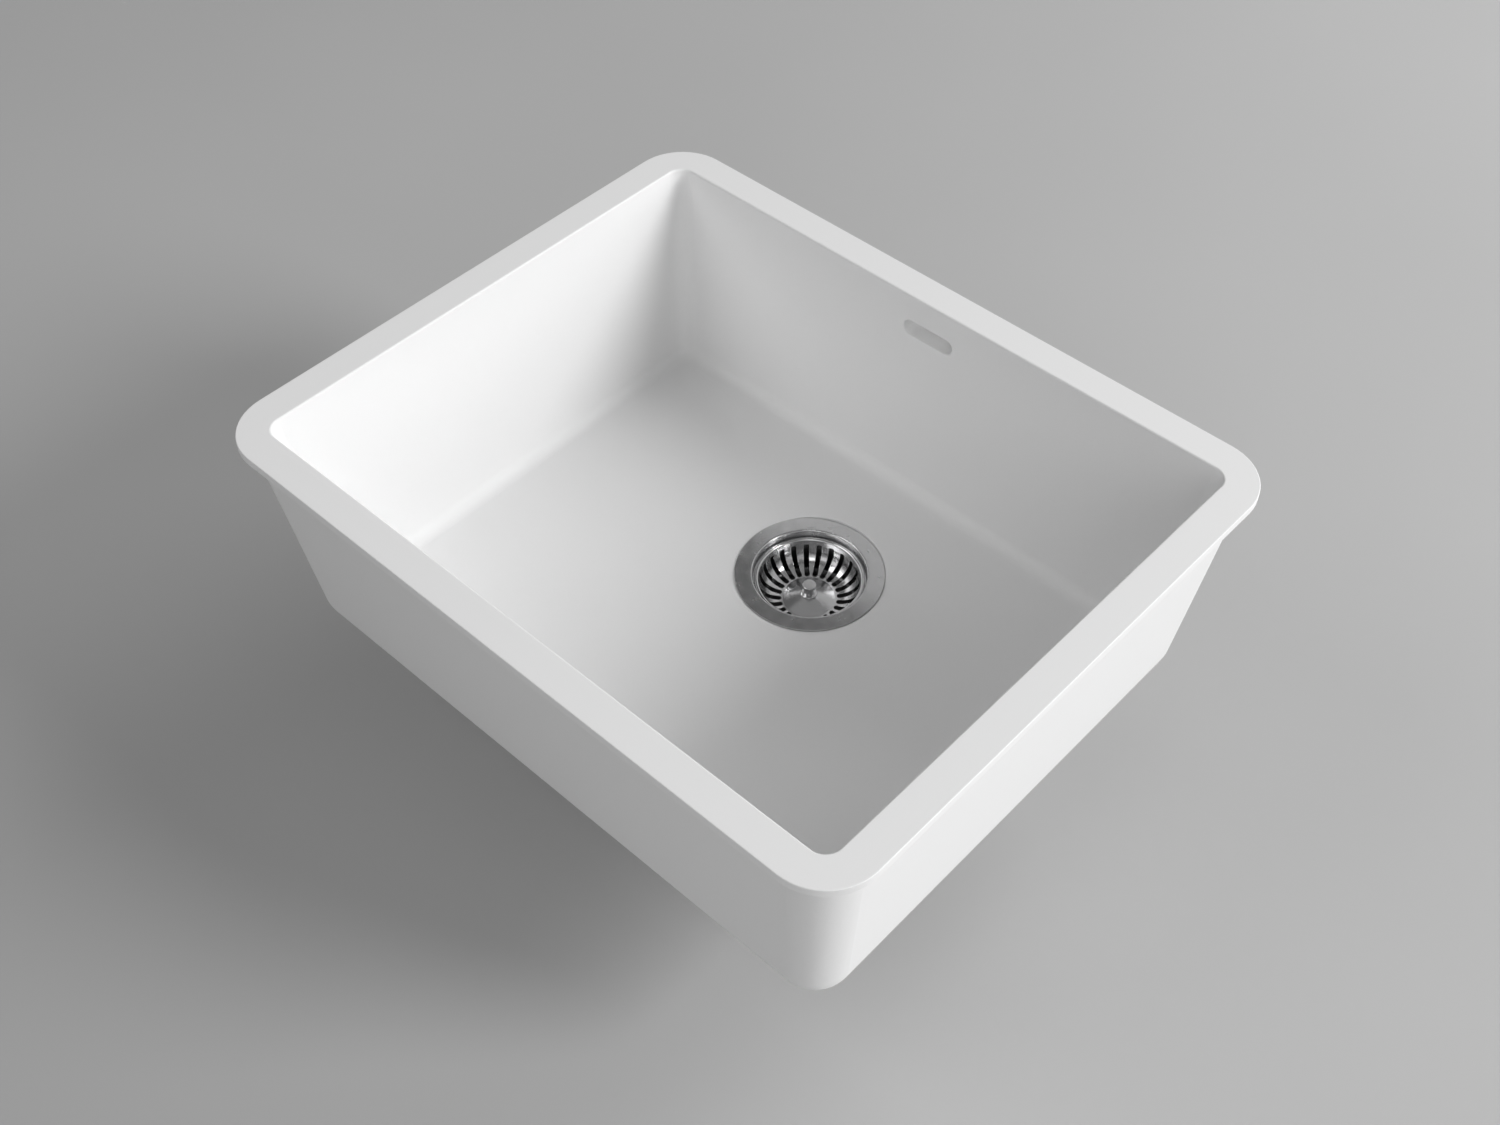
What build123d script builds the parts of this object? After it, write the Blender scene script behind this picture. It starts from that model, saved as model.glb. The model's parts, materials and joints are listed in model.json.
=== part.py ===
from build123d import *
from math import cos, radians, sin, tan
import os

os.makedirs("parts", exist_ok=True)

# Undermount kitchen sink with a basket strainer waste and an overflow, in millimetres.
# Origin at the centre of the opening in the rim's top plane, +X along the long side,
# +Y towards the overflow wall, +Z up.

# Rim and opening
rim_length = 550.0
rim_width = 450.0
rim_thickness = 6.0
rim_corner = 40.0
rim_ledge = 25.0
rim_overhang = 8.3
rim_edge = 0.7
rim_root = 3.0
opening_corner = 12.0
opening_edge = 1.5

# Walls, floor and base of the bowl
outer_draft = 6.25
outer_corner = 31.7
foot_corner = 26.7
inner_draft = 3.6
floor_depth = 175.0
floor_corner = 16.0
floor_round = 11.0
floor_fall = 10.0
floor_thickness = 10.0
base_round = 27.0

# Drain seat in the floor
drain_setback = 125.0
drain_hole = 90.0
seat_rise = 1.4
seat_gap = 0.5
pad_margin = 8.0
pad_height = 8.0
pad_round = 3.0

# Strainer flange and its gaskets
flange_lap = 11.85
flange_gasket_thickness = 0.8
body_gasket_thickness = 3.0
sheet = 1.0
hole_clearance = 0.5
mouth_round = 1.2
ledge_depth = 8.2
ledge_width = 2.9
cup_draft = 1.0
cup_corner = 5.0
drain_slot_count = 6
drain_slot_land = 4.5
drain_slot_width = 9.0
drain_slot_angle = 22.0

# Basket
rest_gap = 0.3
basket_gap = 1.3
basket_sheet = 0.8
cup_gap = 1.6
bead_lip = 0.9
basket_wall_height = 4.5
basket_wall_draft = 0.6
basket_round = 16.5
basket_flat = 1.7
cone_rise = 3.7
slot_count = 24
slot_width = 4.0
slot_land = 1.3
slot_top_drop = 3.5
knob_height = 10.8
knob_wall = 1.5
knob_top_wall = 3.8
knob_cap_lip = 0.8
knob_cap_height = 2.6
knob_collar_lip = 1.95
knob_collar_height = 1.9
knob_overhang = 0.45

# Pin, seal and hollow screw below the basket
running = 0.05
pin_radius = 3.0
pin_reach = 16.0
pin_tip = 1.0
spacer_wall = 2.9
seal_room = 0.7
seal_web = 3.0
seal_overlap = 7.5
seal_land = 0.9
seal_lip = 3.7
seal_hub_radius = 12.0
seal_slack = 0.2
basket_nut_wall = 2.0
basket_nut_height = 3.0
basket_nut_room = 0.9
clip_height = 2.0
clip_wall = 0.65
clip_drop = 9.0
clip_split = 0.9
screw_washer_thickness = 0.8
screw_wall = 1.9
screw_tail = 1.2
screw_head_lip = 4.0
screw_head_height = 2.6
driver_slot_width = 1.6
driver_slot_depth = 1.0
socket_wall = 1.5
socket_length = 14.0

# Waste body
body_wall = 3.5
body_clearance = 0.5
body_flange_margin = 12.0
body_flange_thickness = 4.0
funnel_height = 14.0
outlet_radius = 23.9
outlet_wall = 3.9
outlet_length = 22.0
boss_wall = 2.5
boss_drop = 9.0
rib_thickness = 4.0
rib_height = 12.0
rib_count = 3
rib_angle = 30.0
inlet_margin = 0.5
inlet_length = 22.0

# Overflow
overflow_depth = 27.2
overflow_length = 44.0
overflow_height = 12.0
overflow_edge = 1.0
overflow_gasket_thickness = 2.0
gasket_margin = 2.0
plate_margin = 10.0
plate_corner = 8.0
plate_thickness = 4.0
ear_margin = 8.0
housing_margin = 7.0
housing_lip = 2.0
housing_wall = 3.0
housing_slope = 14.0
housing_round = 1.5
spigot_length = 24.0
pipe_standoff = 0.9
insert_wall = 1.0
insert_length = 9.0
fixing_radius = 2.0
fixing_gap = 1.2
fixing_head_lip = 1.8
fixing_head_height = 2.4
fixing_slot = 1.0

# Pipe and its two compression joints
pipe_radius = 10.0
pipe_wall = 1.8
pipe_bend = 30.0
pipe_socket = 14.0
fit_clearance = 0.1
spigot_wall = 3.4
shoulder = 1.6
joint_seal_height = 4.0
nut_wall = 4.0
nut_grip = 10.0
nut_lip = 3.0
nut_flute_count = 12
nut_flute_radius = 2.0

# Shares and tolerances
fillet_share = 0.98
near = 0.01
diagonal = cos(radians(45))

# Sizes that follow from the driving ones
wall_top = rim_ledge - rim_overhang
opening_length = rim_length - 2 * rim_ledge
opening_width = rim_width - 2 * rim_ledge
wall_length = opening_length + 2 * wall_top
wall_width = opening_width + 2 * wall_top
floor_inset = floor_depth * tan(radians(inner_draft))
base_depth = floor_depth + floor_thickness
base_inset = base_depth * tan(radians(outer_draft))
base_fillet = min(base_round, fillet_share * foot_corner / tan(radians(45 - outer_draft / 2)))
floor_fillet = min(floor_round, fillet_share * floor_corner)

drain_y = opening_width / 2 - drain_setback
apex_depth = floor_depth + floor_fall
seat_depth = apex_depth - seat_rise
flange_depth = seat_depth - flange_gasket_thickness - sheet
hole_radius = drain_hole / 2
flange_radius = hole_radius + flange_lap
seat_radius = flange_radius + seat_gap
pad_depth = base_depth + pad_height
pad_drop = pad_depth - flange_depth

mouth_radius = hole_radius - hole_clearance - sheet
cup_radius = mouth_radius - ledge_width
cup_foot = cup_radius - cup_draft
wall_radius = cup_radius - cup_gap - basket_sheet
bead_outer = mouth_radius - basket_gap
bead_radius = (bead_outer - wall_radius - basket_wall_draft) / 2
bead_inner = bead_radius - basket_sheet
bead_centre = bead_outer - bead_radius
bead_depth = ledge_depth - rest_gap - bead_lip
wall_bottom = bead_depth + basket_wall_height
round_centre = wall_radius - basket_round
outer_round = basket_round + basket_sheet
basket_depth = wall_bottom + basket_round
floor_under = basket_depth + basket_sheet
cone_foot = round_centre - basket_flat
cone_depth = basket_depth - cone_rise
cone_under = cone_depth + basket_sheet
slot_inner_radius = cone_foot + slot_land
slot_length = wall_radius + bead_radius - slot_inner_radius
slot_top_depth = bead_depth + slot_top_drop

knob_top = cone_depth - knob_height
knob_socket = knob_height - knob_top_wall
knob_neck_radius = pin_radius + knob_wall
knob_radius = knob_neck_radius + knob_cap_lip
knob_collar_radius = knob_neck_radius + knob_collar_lip
cone_top_radius = knob_collar_radius - knob_overhang

seal_top = floor_under + seal_room
seal_web_bottom = seal_top + seal_web
spacer_bottom = seal_top - seal_slack
basket_nut_top = seal_web_bottom + seal_slack
head_top = basket_nut_top + basket_nut_height + basket_nut_room
washer_top = head_top + screw_head_height
cup_depth = washer_top + screw_washer_thickness
seal_bottom = cup_depth - rest_gap
clip_top = head_top + clip_drop
clip_outer = pin_radius + running
clip_inner = clip_outer - clip_wall
groove_radius = clip_inner - running
screw_bore = clip_outer + running
pin_end = clip_top + pin_reach
screw_radius = screw_bore + screw_wall
screw_head_radius = screw_radius + screw_head_lip
socket_outer = screw_radius + socket_wall
drain_slot_inner = screw_head_radius + drain_slot_land
drain_slot_radius = drain_slot_inner + drain_slot_width / 2
seal_radius = drain_slot_inner + drain_slot_width + seal_overlap
seal_recess_radius = drain_slot_inner - seal_land

body_top = pad_drop + body_gasket_thickness
body_inner = mouth_radius + sheet + body_clearance
body_outer = body_inner + body_wall
body_flange = hole_radius + body_flange_margin
pad_radius = body_flange + pad_margin
boss_top = cup_depth + boss_drop
boss_radius = socket_outer + boss_wall
funnel_top = boss_top + socket_length
boss_bottom = funnel_top + boss_wall
screw_length = funnel_top + screw_tail - washer_top
funnel_bottom = funnel_top + funnel_height
outlet_end = funnel_bottom + outlet_length
outlet_bore = outlet_radius - outlet_wall
rib_end = body_inner + body_wall / 2
rib_length = rib_end - boss_radius + boss_wall / 2

socket_bore = pipe_radius + fit_clearance
spigot_radius = socket_bore + spigot_wall
water_bore = pipe_radius - shoulder
nut_bore = spigot_radius + fit_clearance
nut_radius = nut_bore + nut_wall
inlet_depth = funnel_top - spigot_radius - inlet_margin

pipe_offset = nut_radius + pipe_standoff
housing_depth = pipe_offset + spigot_radius + housing_lip - overflow_gasket_thickness
housing_length = overflow_length + 2 * housing_margin
insert_radius = fixing_radius + insert_wall
fixing_head_radius = fixing_radius + fixing_head_lip
fixing_spacing = housing_length + 2 * (fixing_gap + fixing_head_radius)
plate_length = fixing_spacing + 2 * ear_margin
plate_height = overflow_height + 2 * plate_margin

# Planes and axes that the pieces share
drain_axis = Axis((0, drain_y, 0), (0, 0, 1))
drain_section = Plane((0, drain_y, -flange_depth), x_dir=(1, 0, 0), z_dir=(0, -1, 0))
lean = radians(outer_draft)
overflow_seat = Plane(
    (0, wall_width / 2 - overflow_depth * tan(lean), -overflow_depth),
    x_dir=(-1, 0, 0),
    z_dir=(0, cos(lean), -sin(lean)),
)
pipe_y = overflow_seat.origin.Y + pipe_offset
spigot_end = -overflow_depth - plate_height / 2 - spigot_length
inlet_z = -flange_depth - inlet_depth
inlet_end = drain_y + body_outer + inlet_length
upper_joint = Plane((0, pipe_y, spigot_end), x_dir=(1, 0, 0), z_dir=(0, 0, -1))
lower_joint = Plane((0, inlet_end, inlet_z), x_dir=(1, 0, 0), z_dir=(0, 1, 0))
collector_face = overflow_seat.offset(overflow_gasket_thickness)
housing_section = Plane(collector_face.origin, x_dir=collector_face.z_dir, z_dir=(1, 0, 0))
outward = Axis(collector_face.origin, collector_face.z_dir)
fixing_seat = collector_face.offset(plate_thickness)


def drain_level(depth):
    """Level plane on the drain's axis, at a depth below the flange's top."""
    return Plane((0, drain_y, -flange_depth - depth))


def save(piece, name):
    """Label a finished piece and write it as its own file."""
    piece.part.label = name
    export_step(piece.part, f"parts/{name}.step")


def housing_outline(inset):
    """Side view of the housing with its sloped roof, drawn in by an inset on all sides but the open one."""
    depth = housing_depth - inset
    floor = -plate_height / 2 + inset
    roof = plate_height / 2 - inset
    slope = housing_slope - inset * tan(radians(45 / 2))
    Polyline(
        (0, floor),
        (depth, floor),
        (depth, roof - slope),
        (depth - slope, roof),
        (0, roof),
        close=True,
    )


# Space inside the bowl: drafted walls, and a floor that falls to one point under the drain
with BuildPart() as bowl_space:
    with BuildSketch() as mouth:
        RectangleRounded(opening_length, opening_width, opening_corner)
    with BuildSketch(Plane.XY.offset(-floor_depth)) as foot:
        RectangleRounded(opening_length - 2 * floor_inset, opening_width - 2 * floor_inset, floor_corner)
    loft(ruled=True)
    loft([foot.sketch.face(), Vertex(0, drain_y, -apex_depth)], ruled=True)
    floor_edges = bowl_space.edges().filter_by(
        lambda edge: abs(edge.center().Z + floor_depth) < near and edge.bounding_box().size.Z < near
    )
    fillet(floor_edges, floor_fillet)

# Bowl with its rim, drain seat, overflow slot and the blind holes of the collector's inserts
with BuildPart() as sink_bowl:
    with BuildSketch():
        RectangleRounded(wall_length, wall_width, outer_corner)
    with BuildSketch(Plane.XY.offset(-base_depth)):
        RectangleRounded(wall_length - 2 * base_inset, wall_width - 2 * base_inset, foot_corner)
    loft(ruled=True)
    fillet(sink_bowl.edges().group_by(Axis.Z)[0], base_fillet)
    with BuildSketch(Plane.XY.offset(-pad_depth)):
        with Locations((0, drain_y)):
            Circle(pad_radius)
    extrude(amount=pad_height + floor_thickness / 2)
    fillet(sink_bowl.edges().group_by(Axis.Z)[0], pad_round)
    with BuildSketch():
        RectangleRounded(rim_length, rim_width, rim_corner)
    extrude(amount=-rim_thickness)
    underside = sink_bowl.faces().filter_by(Plane.XY).filter_by(
        lambda face: abs(face.center().Z + rim_thickness) < near
    )
    fillet(underside[0].inner_wires()[0].edges(), rim_root)
    add(bowl_space.part, mode=Mode.SUBTRACT)
    rim_face = sink_bowl.faces().filter_by(Plane.XY).sort_by(Axis.Z)[-1]
    fillet(rim_face.inner_wires()[0].edges(), opening_edge)
    rim_face = sink_bowl.faces().filter_by(Plane.XY).sort_by(Axis.Z)[-1]
    fillet(rim_face.outer_wire().edges(), rim_edge)
    with BuildSketch(Plane.XY.offset(-seat_depth)):
        with Locations((0, drain_y)):
            Circle(seat_radius)
    extrude(amount=floor_fall, mode=Mode.SUBTRACT)
    with BuildSketch(Plane.XY.offset(-seat_depth)):
        with Locations((0, drain_y)):
            Circle(hole_radius)
    extrude(amount=-pad_depth, mode=Mode.SUBTRACT)
    with BuildSketch(Plane((0, opening_width / 2, -overflow_depth), x_dir=(1, 0, 0), z_dir=(0, 1, 0))):
        SlotOverall(overflow_length, overflow_height)
    extrude(amount=2 * wall_top, both=True, mode=Mode.SUBTRACT)
    inner_lip = sink_bowl.edges(Select.LAST).filter_by(lambda edge: edge.center().Y < opening_width / 2)
    fillet(inner_lip, overflow_edge)
    with BuildSketch(overflow_seat):
        with GridLocations(fixing_spacing, 0, 2, 1):
            Circle(insert_radius)
    extrude(amount=-insert_length, mode=Mode.SUBTRACT)
save(sink_bowl, "sink_bowl")

# Kidney slots of the cup's bottom, drawn about the drain's axis
with BuildSketch() as kidney_slots:
    with PolarLocations(0, drain_slot_count):
        SlotArc(
            CenterArc((0, 0), drain_slot_radius, -drain_slot_angle / 2, drain_slot_angle),
            drain_slot_width,
        )

# Stainless flange and cup, with the kidney slots in the cup's bottom
with BuildPart() as strainer_flange:
    with BuildSketch(drain_section):
        with BuildLine():
            Polyline(
                (flange_radius, 0),
                (mouth_radius, 0),
                (mouth_radius, -ledge_depth),
                (cup_radius, -ledge_depth),
                (cup_foot, -cup_depth),
                (screw_radius + fit_clearance, -cup_depth),
                (screw_radius + fit_clearance, -cup_depth - sheet),
                (cup_foot + sheet, -cup_depth - sheet),
                (cup_radius + sheet, -ledge_depth - sheet),
                (mouth_radius + sheet, -ledge_depth - sheet),
                (mouth_radius + sheet, -sheet),
                (flange_radius, -sheet),
                close=True,
            )
        make_face()
    revolve(axis=drain_axis)
    inside_corner = strainer_flange.edges().filter_by(GeomType.CIRCLE).filter_by(
        lambda edge: abs(edge.center().Z + flange_depth + cup_depth) < near and edge.radius > cup_foot - near
    )
    fillet(inside_corner, cup_corner)
    outside_corner = strainer_flange.edges().filter_by(GeomType.CIRCLE).filter_by(
        lambda edge: abs(edge.center().Z + flange_depth + cup_depth + sheet) < near and edge.radius > cup_foot
    )
    fillet(outside_corner, cup_corner + sheet)
    mouth_edge = strainer_flange.edges().filter_by(GeomType.CIRCLE).filter_by(
        lambda edge: abs(edge.center().Z + flange_depth) < near and edge.radius < mouth_radius + near
    )
    fillet(mouth_edge, mouth_round)
    with BuildSketch(drain_level(cup_depth)):
        add(kidney_slots.sketch)
    extrude(amount=-sheet, mode=Mode.SUBTRACT)
save(strainer_flange, "strainer_flange")

# Thin gasket between the flange and its seat in the floor
with BuildPart() as flange_gasket:
    with BuildSketch(drain_level(sheet)):
        Circle(flange_radius - seat_gap)
        Circle(hole_radius + seat_gap, mode=Mode.SUBTRACT)
    extrude(amount=-flange_gasket_thickness)
save(flange_gasket, "flange_gasket")

# Rubber ring between the bowl's underside and the waste body
with BuildPart() as body_gasket:
    with BuildSketch(drain_level(pad_drop)):
        Circle(body_flange - seat_gap)
        Circle(hole_radius + seat_gap, mode=Mode.SUBTRACT)
    extrude(amount=-body_gasket_thickness)
save(body_gasket, "body_gasket")

# Moulded waste body with a ribbed screw boss, an overflow inlet and a round outlet for a trap
with BuildPart() as waste_body:
    with BuildSketch(drain_section):
        with BuildLine():
            Polyline(
                (body_inner, -body_top),
                (body_flange, -body_top),
                (body_flange, -body_top - body_flange_thickness),
                (body_outer, -body_top - body_flange_thickness),
                (body_outer, -funnel_top),
                (outlet_radius, -funnel_bottom),
                (outlet_radius, -outlet_end),
                (outlet_bore, -outlet_end),
                (outlet_bore, -funnel_bottom),
                (body_inner, -funnel_top),
                close=True,
            )
        make_face()
    revolve(axis=drain_axis)
    with BuildSketch(lower_joint):
        Circle(spigot_radius)
    extrude(amount=-inlet_length - body_wall)
    with BuildSketch(lower_joint):
        Circle(water_bore)
    extrude(amount=-inlet_length - 2 * body_wall, mode=Mode.SUBTRACT)
    with BuildSketch(lower_joint):
        Circle(socket_bore)
    extrude(amount=-pipe_socket, mode=Mode.SUBTRACT)
    with BuildSketch(drain_level(boss_bottom)):
        Circle(boss_radius)
    extrude(amount=boss_bottom - boss_top)
    with BuildSketch(drain_level(funnel_top)):
        with PolarLocations(rib_end - rib_length / 2, rib_count, start_angle=rib_angle):
            Rectangle(rib_length, rib_thickness)
    extrude(amount=rib_height)
    with BuildSketch(drain_level(boss_bottom)):
        Circle(socket_outer)
    extrude(amount=boss_bottom - boss_top, mode=Mode.SUBTRACT)
save(waste_body, "waste_body")

# Threaded insert in the waste body's boss
with BuildPart() as screw_socket:
    with BuildSketch(drain_level(boss_top)):
        Circle(socket_outer - running)
        Circle(screw_radius + running, mode=Mode.SUBTRACT)
    extrude(amount=-socket_length)
save(screw_socket, "screw_socket")

# Hollow screw that pulls the cup and the waste body together
with BuildPart() as clamp_screw:
    with BuildSketch(drain_level(washer_top)):
        Circle(screw_head_radius)
    extrude(amount=screw_head_height)
    fillet(clamp_screw.edges().group_by(Axis.Z)[-1], screw_head_height / 3)
    with BuildSketch(drain_level(washer_top)):
        Circle(screw_radius)
    extrude(amount=-screw_length)
    with BuildSketch(drain_level(head_top)):
        Circle(screw_bore)
    extrude(amount=-screw_head_height - screw_length, mode=Mode.SUBTRACT)
    with BuildSketch(drain_level(head_top)):
        Rectangle(2 * screw_head_radius, driver_slot_width)
    extrude(amount=-driver_slot_depth, mode=Mode.SUBTRACT)
save(clamp_screw, "clamp_screw")

# Sealing washer under the hollow screw's head
with BuildPart() as screw_washer:
    with BuildSketch(drain_level(cup_depth)):
        Circle(screw_head_radius)
        Circle(screw_radius + fit_clearance, mode=Mode.SUBTRACT)
    extrude(amount=screw_washer_thickness)
save(screw_washer, "screw_washer")

# Slotted basket with a rolled bead, a deep round and a centre that rises to the knob
with BuildPart() as basket_cup:
    with BuildSketch(drain_section):
        with BuildLine():
            Polyline(
                (bead_outer - basket_sheet, -bead_depth),
                (bead_outer - basket_sheet, -bead_depth - bead_lip),
                (bead_outer, -bead_depth - bead_lip),
                (bead_outer, -bead_depth),
            )
            ThreePointArc(
                (bead_outer, -bead_depth),
                (bead_centre, -bead_depth + bead_radius),
                (bead_centre - bead_radius, -bead_depth),
            )
            Line((bead_centre - bead_radius, -bead_depth), (wall_radius, -wall_bottom))
            ThreePointArc(
                (wall_radius, -wall_bottom),
                (round_centre + basket_round * diagonal, -wall_bottom - basket_round * diagonal),
                (round_centre, -basket_depth),
            )
            Polyline(
                (round_centre, -basket_depth),
                (cone_foot, -basket_depth),
                (cone_top_radius, -cone_depth),
                (pin_radius + running, -cone_depth),
                (pin_radius + running, -cone_under),
                (cone_top_radius, -cone_under),
                (cone_foot, -floor_under),
                (round_centre, -floor_under),
            )
            ThreePointArc(
                (round_centre, -floor_under),
                (round_centre + outer_round * diagonal, -wall_bottom - outer_round * diagonal),
                (wall_radius + basket_sheet, -wall_bottom),
            )
            Line((wall_radius + basket_sheet, -wall_bottom), (bead_centre - bead_inner, -bead_depth))
            ThreePointArc(
                (bead_centre - bead_inner, -bead_depth),
                (bead_centre, -bead_depth + bead_inner),
                (bead_outer - basket_sheet, -bead_depth),
            )
        make_face()
    revolve(axis=drain_axis)
    with BuildSketch(drain_level(floor_under)):
        with PolarLocations(slot_inner_radius + slot_length / 2, slot_count):
            SlotOverall(slot_length, slot_width)
    extrude(amount=floor_under - slot_top_depth, mode=Mode.SUBTRACT)
save(basket_cup, "basket_cup")

# Waisted knob with a collar that sits on the basket's raised centre
with BuildPart() as basket_knob:
    with BuildSketch(drain_section):
        with BuildLine():
            Polyline(
                (0, -knob_top),
                (knob_radius, -knob_top),
                (knob_radius, -knob_top - knob_cap_height),
                (knob_neck_radius, -knob_top - knob_cap_height),
                (knob_neck_radius, -cone_depth + knob_collar_height),
                (knob_collar_radius, -cone_depth + knob_collar_height),
                (knob_collar_radius, -cone_depth),
                (0, -cone_depth),
                close=True,
            )
        make_face()
    revolve(axis=drain_axis)
    cap_edges = basket_knob.edges().filter_by(GeomType.CIRCLE).filter_by(
        lambda edge: abs(edge.radius - knob_radius) < near
    )
    fillet(cap_edges, knob_cap_height / 4)
    collar_edge = basket_knob.edges().filter_by(GeomType.CIRCLE).filter_by(
        lambda edge: abs(edge.radius - knob_collar_radius) < near
    )
    fillet(collar_edge.sort_by(Axis.Z)[-1], knob_collar_height / 2)
    with BuildSketch(drain_level(cone_depth)):
        Circle(pin_radius)
    extrude(amount=knob_socket, mode=Mode.SUBTRACT)
save(basket_knob, "basket_knob")

# Pin from the knob through basket and seal into the hollow screw
with BuildPart() as basket_pin:
    with BuildSketch(drain_level(cone_depth - knob_socket)):
        Circle(pin_radius)
    extrude(amount=-(pin_end - cone_depth + knob_socket))
    chamfer(basket_pin.edges().group_by(Axis.Z)[0], pin_tip)
    with BuildSketch(drain_level(clip_top - running)):
        Circle(pin_radius + fit_clearance)
        Circle(groove_radius, mode=Mode.SUBTRACT)
    extrude(amount=-clip_height - 2 * running, mode=Mode.SUBTRACT)
save(basket_pin, "basket_pin")

# Tube between the basket's centre and the seal
with BuildPart() as basket_spacer:
    with BuildSketch(drain_level(cone_under)):
        Circle(pin_radius + running + spacer_wall)
        Circle(pin_radius + running, mode=Mode.SUBTRACT)
    extrude(amount=-(spacer_bottom - cone_under))
save(basket_spacer, "basket_spacer")

# Rubber plug with a flared skirt that closes on the cup's bottom
with BuildPart() as basket_seal:
    with BuildSketch(drain_section):
        with BuildLine():
            Polyline(
                (pin_radius + running, -seal_top),
                (seal_hub_radius, -seal_top),
                (seal_radius, -seal_bottom + seal_lip),
                (seal_radius, -seal_bottom),
                (seal_recess_radius, -seal_bottom),
                (seal_recess_radius, -seal_web_bottom),
                (pin_radius + running, -seal_web_bottom),
                close=True,
            )
        make_face()
    revolve(axis=drain_axis)
    skirt_edges = basket_seal.edges().filter_by(GeomType.CIRCLE).filter_by(
        lambda edge: abs(edge.radius - seal_radius) < near
    )
    fillet(skirt_edges, seal_lip / 4)
save(basket_seal, "basket_seal")

# Nut that holds basket, spacer and seal on the pin
with BuildPart() as basket_nut:
    with BuildSketch(drain_level(basket_nut_top)):
        RegularPolygon(pin_radius + basket_nut_wall, 6, major_radius=False)
        Circle(pin_radius, mode=Mode.SUBTRACT)
    extrude(amount=-basket_nut_height)
save(basket_nut, "basket_nut")

# Split spring ring in the pin's groove, inside the hollow screw
with BuildPart() as pin_clip:
    with BuildSketch(drain_level(clip_top)):
        Circle(clip_outer)
        Circle(clip_inner, mode=Mode.SUBTRACT)
        with Locations((0, clip_outer)):
            Rectangle(clip_split, 2 * clip_outer, mode=Mode.SUBTRACT)
    extrude(amount=-clip_height)
save(pin_clip, "pin_clip")

# Flat gasket between the overflow collector and the bowl
with BuildPart() as overflow_gasket:
    with BuildSketch(overflow_seat):
        RectangleRounded(plate_length, plate_height, plate_corner)
        SlotOverall(
            overflow_length + 2 * gasket_margin,
            overflow_height + 2 * gasket_margin,
            mode=Mode.SUBTRACT,
        )
        with GridLocations(fixing_spacing, 0, 2, 1):
            Circle(fixing_radius + fit_clearance, mode=Mode.SUBTRACT)
    extrude(amount=overflow_gasket_thickness)
save(overflow_gasket, "overflow_gasket")

# Collector housing behind the overflow slot, with two ears and a spigot that points down
with BuildPart() as overflow_collector:
    with BuildSketch(housing_section):
        with BuildLine():
            housing_outline(0)
        make_face()
    extrude(amount=housing_length / 2, both=True)
    open_edges = overflow_collector.faces().sort_by(outward)[0].edges()
    fillet(overflow_collector.edges() - open_edges, housing_round)
    with BuildSketch(collector_face):
        RectangleRounded(plate_length, plate_height, plate_corner)
    extrude(amount=plate_thickness)
    with BuildSketch(upper_joint):
        Circle(spigot_radius)
    extrude(amount=-spigot_length - plate_margin)
    with BuildSketch(housing_section):
        with BuildLine():
            housing_outline(housing_wall)
        make_face()
    extrude(amount=housing_length / 2 - housing_wall, both=True, mode=Mode.SUBTRACT)
    with BuildSketch(upper_joint):
        Circle(water_bore)
    extrude(amount=-spigot_length - plate_margin, mode=Mode.SUBTRACT)
    with BuildSketch(upper_joint):
        Circle(socket_bore)
    extrude(amount=-pipe_socket, mode=Mode.SUBTRACT)
    with BuildSketch(collector_face):
        with GridLocations(fixing_spacing, 0, 2, 1):
            Circle(fixing_radius + fit_clearance)
    extrude(amount=plate_thickness, mode=Mode.SUBTRACT)
save(overflow_collector, "overflow_collector")

# Two threaded inserts in the back wall
with BuildPart() as overflow_inserts:
    with BuildSketch(overflow_seat):
        with GridLocations(fixing_spacing, 0, 2, 1):
            Circle(insert_radius - running)
            Circle(fixing_radius + running, mode=Mode.SUBTRACT)
    extrude(amount=-insert_length)
save(overflow_inserts, "overflow_inserts")

# Two slotted screws that hold the collector
with BuildPart() as overflow_screws:
    with BuildSketch(fixing_seat):
        with GridLocations(fixing_spacing, 0, 2, 1):
            Circle(fixing_head_radius)
    extrude(amount=fixing_head_height)
    with BuildSketch(fixing_seat):
        with GridLocations(fixing_spacing, 0, 2, 1):
            Circle(fixing_radius)
    extrude(amount=-(plate_thickness + overflow_gasket_thickness + insert_length - 2 * running))
    with BuildSketch(fixing_seat.offset(fixing_head_height)):
        with GridLocations(fixing_spacing, 0, 2, 1):
            Rectangle(2 * fixing_head_radius, fixing_slot)
    extrude(amount=-fixing_slot, mode=Mode.SUBTRACT)
save(overflow_screws, "overflow_screws")

# Bent pipe from the collector down and forward to the waste body
with BuildPart() as overflow_pipe:
    with BuildLine() as pipe_path:
        FilletPolyline(
            (0, pipe_y, spigot_end + pipe_socket),
            (0, pipe_y, inlet_z),
            (0, inlet_end - pipe_socket, inlet_z),
            radius=pipe_bend,
        )
    with BuildSketch(Plane((0, pipe_y, spigot_end + pipe_socket), z_dir=(0, 0, -1))):
        Circle(pipe_radius)
        Circle(pipe_radius - pipe_wall, mode=Mode.SUBTRACT)
    sweep()
save(overflow_pipe, "overflow_pipe")

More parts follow.
